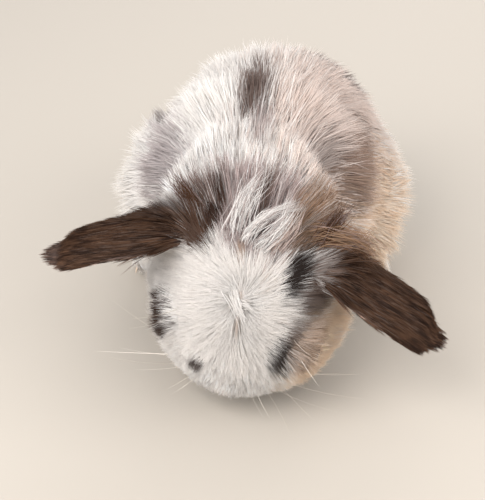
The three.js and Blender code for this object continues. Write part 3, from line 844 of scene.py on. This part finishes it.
def unwrapped(places, axis):
    # a root's place on a cylinder about the piece's own axis, spread to fill the unit square
    middle = (places.min(0) + places.max(0)) / 2
    axis = unit(np.array(axis, float))
    first = unit(np.cross(axis, (0.3, 0.5, 0.8)))  # any way that no piece's axis takes
    second = np.cross(axis, first)
    out = places - middle
    angle = np.arctan2(out @ second, out @ first)
    order = np.sort(angle)
    gaps = np.diff(np.append(order, order[0] + 2 * math.pi))
    start = order[(gaps.argmax() + 1) % len(order)]  # the seam is put where the fewest tufts are
    square = np.stack([(angle - start) % (2 * math.pi), out @ axis], 1)
    square = (square - square.min(0)) / np.maximum(np.ptp(square, axis=0), 1e-6)
    return tuftPlan["patch"] + square * (1 - 2 * tuftPlan["patch"])


def growPiece(name, kind, tufts, axis, material=hair):
    # one mesh of spindles; tufts holds their lines, ups, widths and colours
    places, normals, through = spindles(kind, tufts["lines"], tufts["ups"], tufts["widths"])
    faces = spindleFaces(len(ringPlans[kind]["rings"]))
    cornerOf = np.array([corner for face in faces for corner in face])
    faceSizes = np.array([len(face) for face in faces])
    number, size = places.shape[:2]
    mesh = bpy.data.meshes.new(name)
    mesh.vertices.add(number * size)
    mesh.vertices.foreach_set("co", (places * mm).astype(np.float32).ravel())
    loops = (cornerOf[None, :] + size * np.arange(number)[:, None]).ravel()
    mesh.loops.add(len(loops))
    mesh.loops.foreach_set("vertex_index", loops.astype(np.int32))
    sizes = np.tile(faceSizes, number)
    mesh.polygons.add(len(sizes))
    mesh.polygons.foreach_set("loop_start", (np.cumsum(sizes) - sizes).astype(np.int32))
    # Each tuft is painted darker towards its root: painted shade for the shadow that the tufts over it cast
    # on the under-coat.
    paintedShadeAlong = tuftPlan["rootShade"] + tuftPlan["tipBrighter"] * through
    colours = tufts["colours"][:, None, :] * paintedShadeAlong[None, :, None]
    paint(mesh, np.clip(colours, 0, tuftPlan["palest"]).reshape(-1, 3))
    home = unwrapped(tufts["lines"][:, 0], axis)
    besides = np.array([0, *[-1, 1, 0] * len(ringPlans[kind]["rings"]), 0]) / 2
    offset = np.stack([besides, through - 0.5], 1) * tuftPlan["patch"]
    spots = (home[:, None, :] + offset[None, cornerOf, :]).reshape(-1, 2)
    layer = mesh.uv_layers.new(name="OFBake")
    layer.data.foreach_set("uv", spots.astype(np.float32).ravel())
    mesh.update()
    mesh.shade_smooth()
    # The sides that show take most of their normal from the skin, so that the coat is lit as one soft form.
    faceNormals = np.empty(len(sizes) * 3, np.float32)
    mesh.polygons.foreach_get("normal", faceNormals)
    own = np.repeat(faceNormals.reshape(-1, 3), sizes, axis=0).reshape(number, -1, 3)
    showing = (np.repeat(np.arange(len(faces)), faceSizes) >= len(faces) // 3)[None, :, None]
    soft = np.where(showing, normals[:, cornerOf], own)
    mesh.normals_split_custom_set(soft.reshape(-1, 3).astype(np.float32))
    mesh.materials.append(material)
    print(f"  {name}: {number} tufts, {number * 6 * len(ringPlans[kind]['rings'])} triangles")
    return addObject(name, mesh)


isNode = lambda *names: np.isin(tuftNode, [fleshNodes.index(name) for name in names])
tuftHead = toHead(at)
cutPlan = {"crownMane": 0.12, "faceUp": 4, "rumpBack": 8}
leftSide, leftThigh, headLeft = at[:, 0] > headOrigin[0], isNode("thigh_left"), tuftHead[:, 0] > 0
onCrown = isNode("head") & (tuftMane > cutPlan["crownMane"])
onFace = isNode("head") & ~onCrown & (tuftHead[:, 2] > cutPlan["faceUp"])
onCheek = isNode("head") & ~onCrown & ~onFace
onRump = isNode("trunk") & (at[:, 1] > cutPlan["rumpBack"])
onSide = isNode("trunk") & ~onRump
headLong = turnFromHead((0, 1, 0))
lengthways, crossways = (0, 1, 0), (1, 0, 0)
# Each piece's name, kind of tuft, tufts, what cuts it into a left and a right piece, axis and slot.
coatPieces = [
    ("coat_face", "short", onFace, headLeft, headLong, "light_coat"),
    ("coat_crown", "long", onCrown, headLeft, headLong, "dark_coat"),
    ("coat_cheek", "short", onCheek, headLeft, headLong, "light_coat"),
    ("coat_mane", "long", isNode("neck"), None, lengthways, "light_coat"),
    ("coat_side", "short", onSide, leftSide, lengthways, "light_coat"),
    ("coat_rump", "short", onRump, leftSide, lengthways, "light_coat"),
    ("coat_thigh", "short", isNode("thigh_left", "thigh_right"), leftThigh, crossways, "light_coat"),
    ("coat_tail", "long", isNode("tail"), None, (0, 1, 0.4), "dark_coat"),
    ("coat_ear_left", "short", isNode("ear_left"), None, earWays["left"], "dark_coat"),
    ("coat_ear_right", "short", isNode("ear_right"), None, earWays["right"], "dark_coat"),
    ("coat_forelegs", "short", isNode("foreleg_left", "foreleg_right"), None, lengthways, "light_coat"),
    ("coat_hind_feet", "short", isNode("hind_foot_left", "hind_foot_right"), None, lengthways, "light_coat"),
]
print("the coat:")
for name, kind, on, onLeft, axis, slot in coatPieces:
    halves = {name: on} if onLeft is None else {f"{name}_left": on & onLeft, f"{name}_right": on & ~onLeft}
    for half, picked in halves.items():
        tufts = {"lines": curve[picked], "ups": up[picked], "widths": tuftWidth[picked],
                 "colours": tuftColour[picked]}
        growPiece(half, kind, tufts, axis)

# The forelock: locks between and behind the ears that curl over the rest. Each row holds the four points of a
# curve in the head's frame, how many tufts follow it, its root's thickness, its colour and its share of grey.
lockRows = [
    # white locks that cross over the parting
    (((-4, -4, 19), (-2.5, -7, 23.2), (1, -10, 22.8), (2.5, -13, 19.5)), 55, 1.8, "white", 0),
    (((2.5, -12, 18), (0.5, -10.5, 23), (-1, -7.5, 23.6), (-1.6, -4, 22)), 40, 1.6, "white", 0),
    (((-1.5, -9, 19), (0, -7, 23.6), (3, -7.5, 23), (5.5, -9.5, 21)), 30, 1.4, "white", 0),
    # the white tuft between the ears
    (((-2.5, 7.5, 17), (-4, 13, 27), (0, 20, 27.5), (9, 25, 22)), 200, 1.8, "white", 0.3),
    (((0, 8, 17), (1, 10, 28), (8, 15, 27), (8, 25, 22)), 150, 2.6, "white", 0.3),
    (((3, 9, 16), (5, 11, 27), (11, 16, 25), (10, 25, 20)), 90, 3, "pinkWhite", 0.3),
    (((-6, 9, 16), (-8, 15, 25), (-6, 24, 26), (-3, 32, 20)), 110, 4, "white", 0.3),
    # dark and tan locks over the left ear's root
    (((18, 14, 12), (20, 19, 22), (22, 24, 22), (24.5, 29, 17)), 120, 3, "brown", 0.3),
    (((22, 12, 10), (26, 15, 18), (29, 18, 17), (34, 23, 10)), 120, 3, "warmBrown", 0.3),
    (((15, 17, 16), (22, 21, 22.5), (30, 21, 19.5), (38, 17.5, 13)), 150, 3.5, "tan", 0.3),
    (((18, 14, 14), (25, 17, 21.5), (31, 17, 19), (37, 14.5, 12)), 120, 3, "warmBrown", 0.3),
    # and over the right one's
    (((-17, 13, 12), (-21, 17, 21), (-25, 21, 21), (-30, 25, 15)), 110, 3, "brown", 0.3),
]
lockPlan = {"jitter": 1.4, "usualRoot": 2.6, "shortest": 0.6, "longest": 1.1, "width": 0.22, "tip": 0.5,
            "up": (0, 0.25, 1.0), "greyStrength": 0.6, "darkest": 0.8, "brightest": 1.05}
lockUp = turnFromHead(unit(np.array(lockPlan["up"])))
lines, colours = [], []
for path, tufts, thick, name, grey in lockRows:
    offsets = np.sqrt(rng.random(tufts))[:, None] * unit(rng.normal(size=(tufts, 3))) * thick
    through = (np.linspace(0, 1, tuftPlan["steps"] + 1)[None, :]
               * rng.uniform(lockPlan["shortest"], lockPlan["longest"], (tufts, 1)))[:, :, None]
    jitter = lockPlan["jitter"] * thick / lockPlan["usualRoot"]
    p0, p1, p2, p3 = (np.array(place) + rng.normal(0, jitter, (tufts, 1, 3)) for place in path)
    line = ((1 - through) ** 3 * p0 + 3 * (1 - through) ** 2 * through * p1
            + 3 * (1 - through) * through ** 2 * p2 + through ** 3 * p3)
    line = line + offsets[:, None, :] * (1 - (1 - lockPlan["tip"]) * through)
    lines.append(line @ headTurn.T + headOrigin)
    mixed = rng.random((tufts, 1)) < grey
    tone = palette[name] + lockPlan["greyStrength"] * mixed * (palette["maneGrey"] - palette[name])
    colours.append(tone * rng.uniform(lockPlan["darkest"], lockPlan["brightest"], (tufts, 1)))
lines = np.concatenate(lines)
tufts = {"lines": lines, "ups": np.tile(lockUp, (len(lines), 1)),
         "widths": np.full(len(lines), lockPlan["width"]),
         "colours": np.clip(np.concatenate(colours), 0, mixPlan["palest"])}
growPiece("coat_forelock", "long", tufts, headLong)

# Whiskers on the pads beside the nose and over the eyes. Each row holds where one starts in the head's frame,
# which way it goes and how long it is.
whiskerPlan = {"width": 0.17, "points": 13, "droop": 0.22, "droops": (0, 0.8, -0.3), "droopVaries": 0.5,
               "wayVaries": 0.05, "colour": "#d9cec2"}
whiskerRows = [
    ((8.5, -29, -4), (0.85, -0.45, 0.25), 30),
    ((10, -27.5, -5), (0.95, -0.2, 0.1), 34),
    ((11.5, -26, -6.5), (1, 0.05, 0.0), 32),
    ((9, -29.5, -6.5), (0.8, -0.5, 0), 22),
    ((10.5, -28, -8), (0.9, -0.25, -0.1), 26),
    ((12, -26, -9), (0.95, 0, -0.15), 26),
    ((7, -31, -3.5), (0.45, -0.75, 0.45), 15),
    ((8, -30.5, -5.5), (0.55, -0.75, 0.2), 14),
    ((18, -14, 11), (0.55, -0.45, 0.7), 17),
    ((19.5, -17, 9), (0.65, -0.6, 0.5), 15),
]
# Stiff pale hair, smoother than the coat's, so that it catches a thin line of light.
whiskerHair = newMaterial("whiskerHair")
shade = addNode(whiskerHair, "ShaderNodeBsdfPrincipled",
                {"Base Color": (*linear(whiskerPlan["colour"]), 1), "Roughness": 0.35})
addNode(whiskerHair, "ShaderNodeOutputMaterial", links={"Surface": (shade, "BSDF")})
through = np.linspace(0, 1, whiskerPlan["points"])[:, None]
for label, side in sides.items():
    lines, ups = [], []
    mirror = np.array((side, 1, 1))
    for start, way, reach in whiskerRows:
        way = unit(np.array(way) * mirror + rng.normal(0, whiskerPlan["wayVaries"], 3))
        bow = flattened(rng.normal(0, whiskerPlan["droopVaries"], 3) + np.array(whiskerPlan["droops"]), way)
        bent = way * through + bow * whiskerPlan["droop"] * through ** 2
        lines.append((np.array(start) * mirror + reach * bent) @ headTurn.T + headOrigin)
        ups.append(turnFromHead(bow))
    tufts = {"lines": np.array(lines), "ups": np.array(ups),
             "widths": np.full(len(lines), whiskerPlan["width"]),
             "colours": np.tile(linear(whiskerPlan["colour"]), (len(lines), 1))}
    growPiece(f"whiskers_{label}", "whisker", tufts, headLong, whiskerHair)

# Eyes.

# A wet dark brown eye: a thin clear front is left out, so iris and pupil lie on the ball itself. Each tone is
# reached at a share of the angle from the pupil's middle. The front bulges from a share of the radius on.
eyePlan = {"tones": {0.30: "#040303", 0.37: "#2a1610", 0.85: "#140b08"}, "angle": 62, "inset": 0.1,
           "bulge": 0.35, "bulgeFrom": 0.72}
eyeball = newMaterial("wetEye")
distance = addNode(eyeball, "ShaderNodeAttribute", {"attribute_name": "fromPupil"})
eyeTones = addNode(eyeball, "ShaderNodeValToRGB", links={"Fac": (distance, "Fac")})
stops = eyeTones.color_ramp.elements
stops.new(1.0)
for stop, (position, colour) in zip(stops, eyePlan["tones"].items()):
    stop.position = position
    stop.color = (*linear(colour), 1)
shade = addNode(eyeball, "ShaderNodeBsdfPrincipled", {"Roughness": 0.05, "IOR": 1.38, "Coat Weight": 0.6},
                {"Base Color": (eyeTones, "Color")})
addNode(eyeball, "ShaderNodeOutputMaterial", links={"Surface": (shade, "BSDF")})
for label in sides:
    looks = Vector(eyeLooks[label]).to_track_quat("Z", "Y").to_matrix().to_4x4()
    bm = bmesh.new()
    bmesh.ops.create_uvsphere(bm, u_segments=40, v_segments=24, radius=(eyeRadius - eyePlan["inset"]) * mm)
    for vert in bm.verts:
        bulge = smoothstep(eyePlan["bulgeFrom"], 1.0, vert.co.z / (eyeRadius * mm))
        vert.co.z += eyePlan["bulge"] * mm * float(bulge)
    fromPupil = [math.degrees(vert.co.angle(Vector((0, 0, 1)))) / eyePlan["angle"] for vert in bm.verts]
    bmesh.ops.transform(bm, matrix=Matrix.Translation(Vector(eyeAt[label]) * mm) @ looks, verts=bm.verts)
    mesh = bpy.data.meshes.new(f"eyeball_{label}")
    bm.to_mesh(mesh)
    bm.free()
    mesh.attributes.new("fromPupil", "FLOAT", "POINT").data.foreach_set("value", fromPupil)
    mesh.shade_smooth()
    mesh.materials.append(eyeball)
    piece = addObject(f"eyeball_{label}", mesh)
    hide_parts(f"eye_{label}")
print("eyes are set")

# Claws.

# Smooth pale horn with soft darker streaks.
clawPlan = {"streaks": 1.5, "tones": ("#8d7360", "#dccab4"), "rounding": 2}
horn = newMaterial("clawHorn")
onObject = addNode(horn, "ShaderNodeTexCoord")
streaks = addNode(horn, "ShaderNodeTexNoise", {"Scale": 1 / (clawPlan["streaks"] * mm), "Detail": 3.0},
                  {"Vector": (onObject, "Object")})
tones = addNode(horn, "ShaderNodeValToRGB", links={"Fac": (streaks, "Fac")})
for stop, colour in zip(tones.color_ramp.elements, clawPlan["tones"]):
    stop.color = (*linear(colour), 1)
shade = addNode(horn, "ShaderNodeBsdfPrincipled", {"Roughness": 0.38}, {"Base Color": (tones, "Color")})
addNode(horn, "ShaderNodeOutputMaterial", links={"Surface": (shade, "BSDF")})
for limb in ("foreleg_left", "foreleg_right", "hind_foot_left", "hind_foot_right"):
    names = [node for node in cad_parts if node.startswith(f"{limb}_claw")]
    mesh = bpy.data.meshes.new(f"claws_{limb}")
    bm = bmesh.new()
    for node in names:
        bm.from_mesh(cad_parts[node].data)
    bmesh.ops.remove_doubles(bm, verts=bm.verts, dist=weld)
    bm.to_mesh(mesh)
    bm.free()
    mesh.shade_smooth()
    mesh.materials.append(horn)
    piece = addObject(f"claws_{limb}", mesh)
    rounding = piece.modifiers.new("rounding", "SUBSURF")
    rounding.levels = rounding.render_levels = clawPlan["rounding"]
    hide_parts(*names)
print("claws are made")
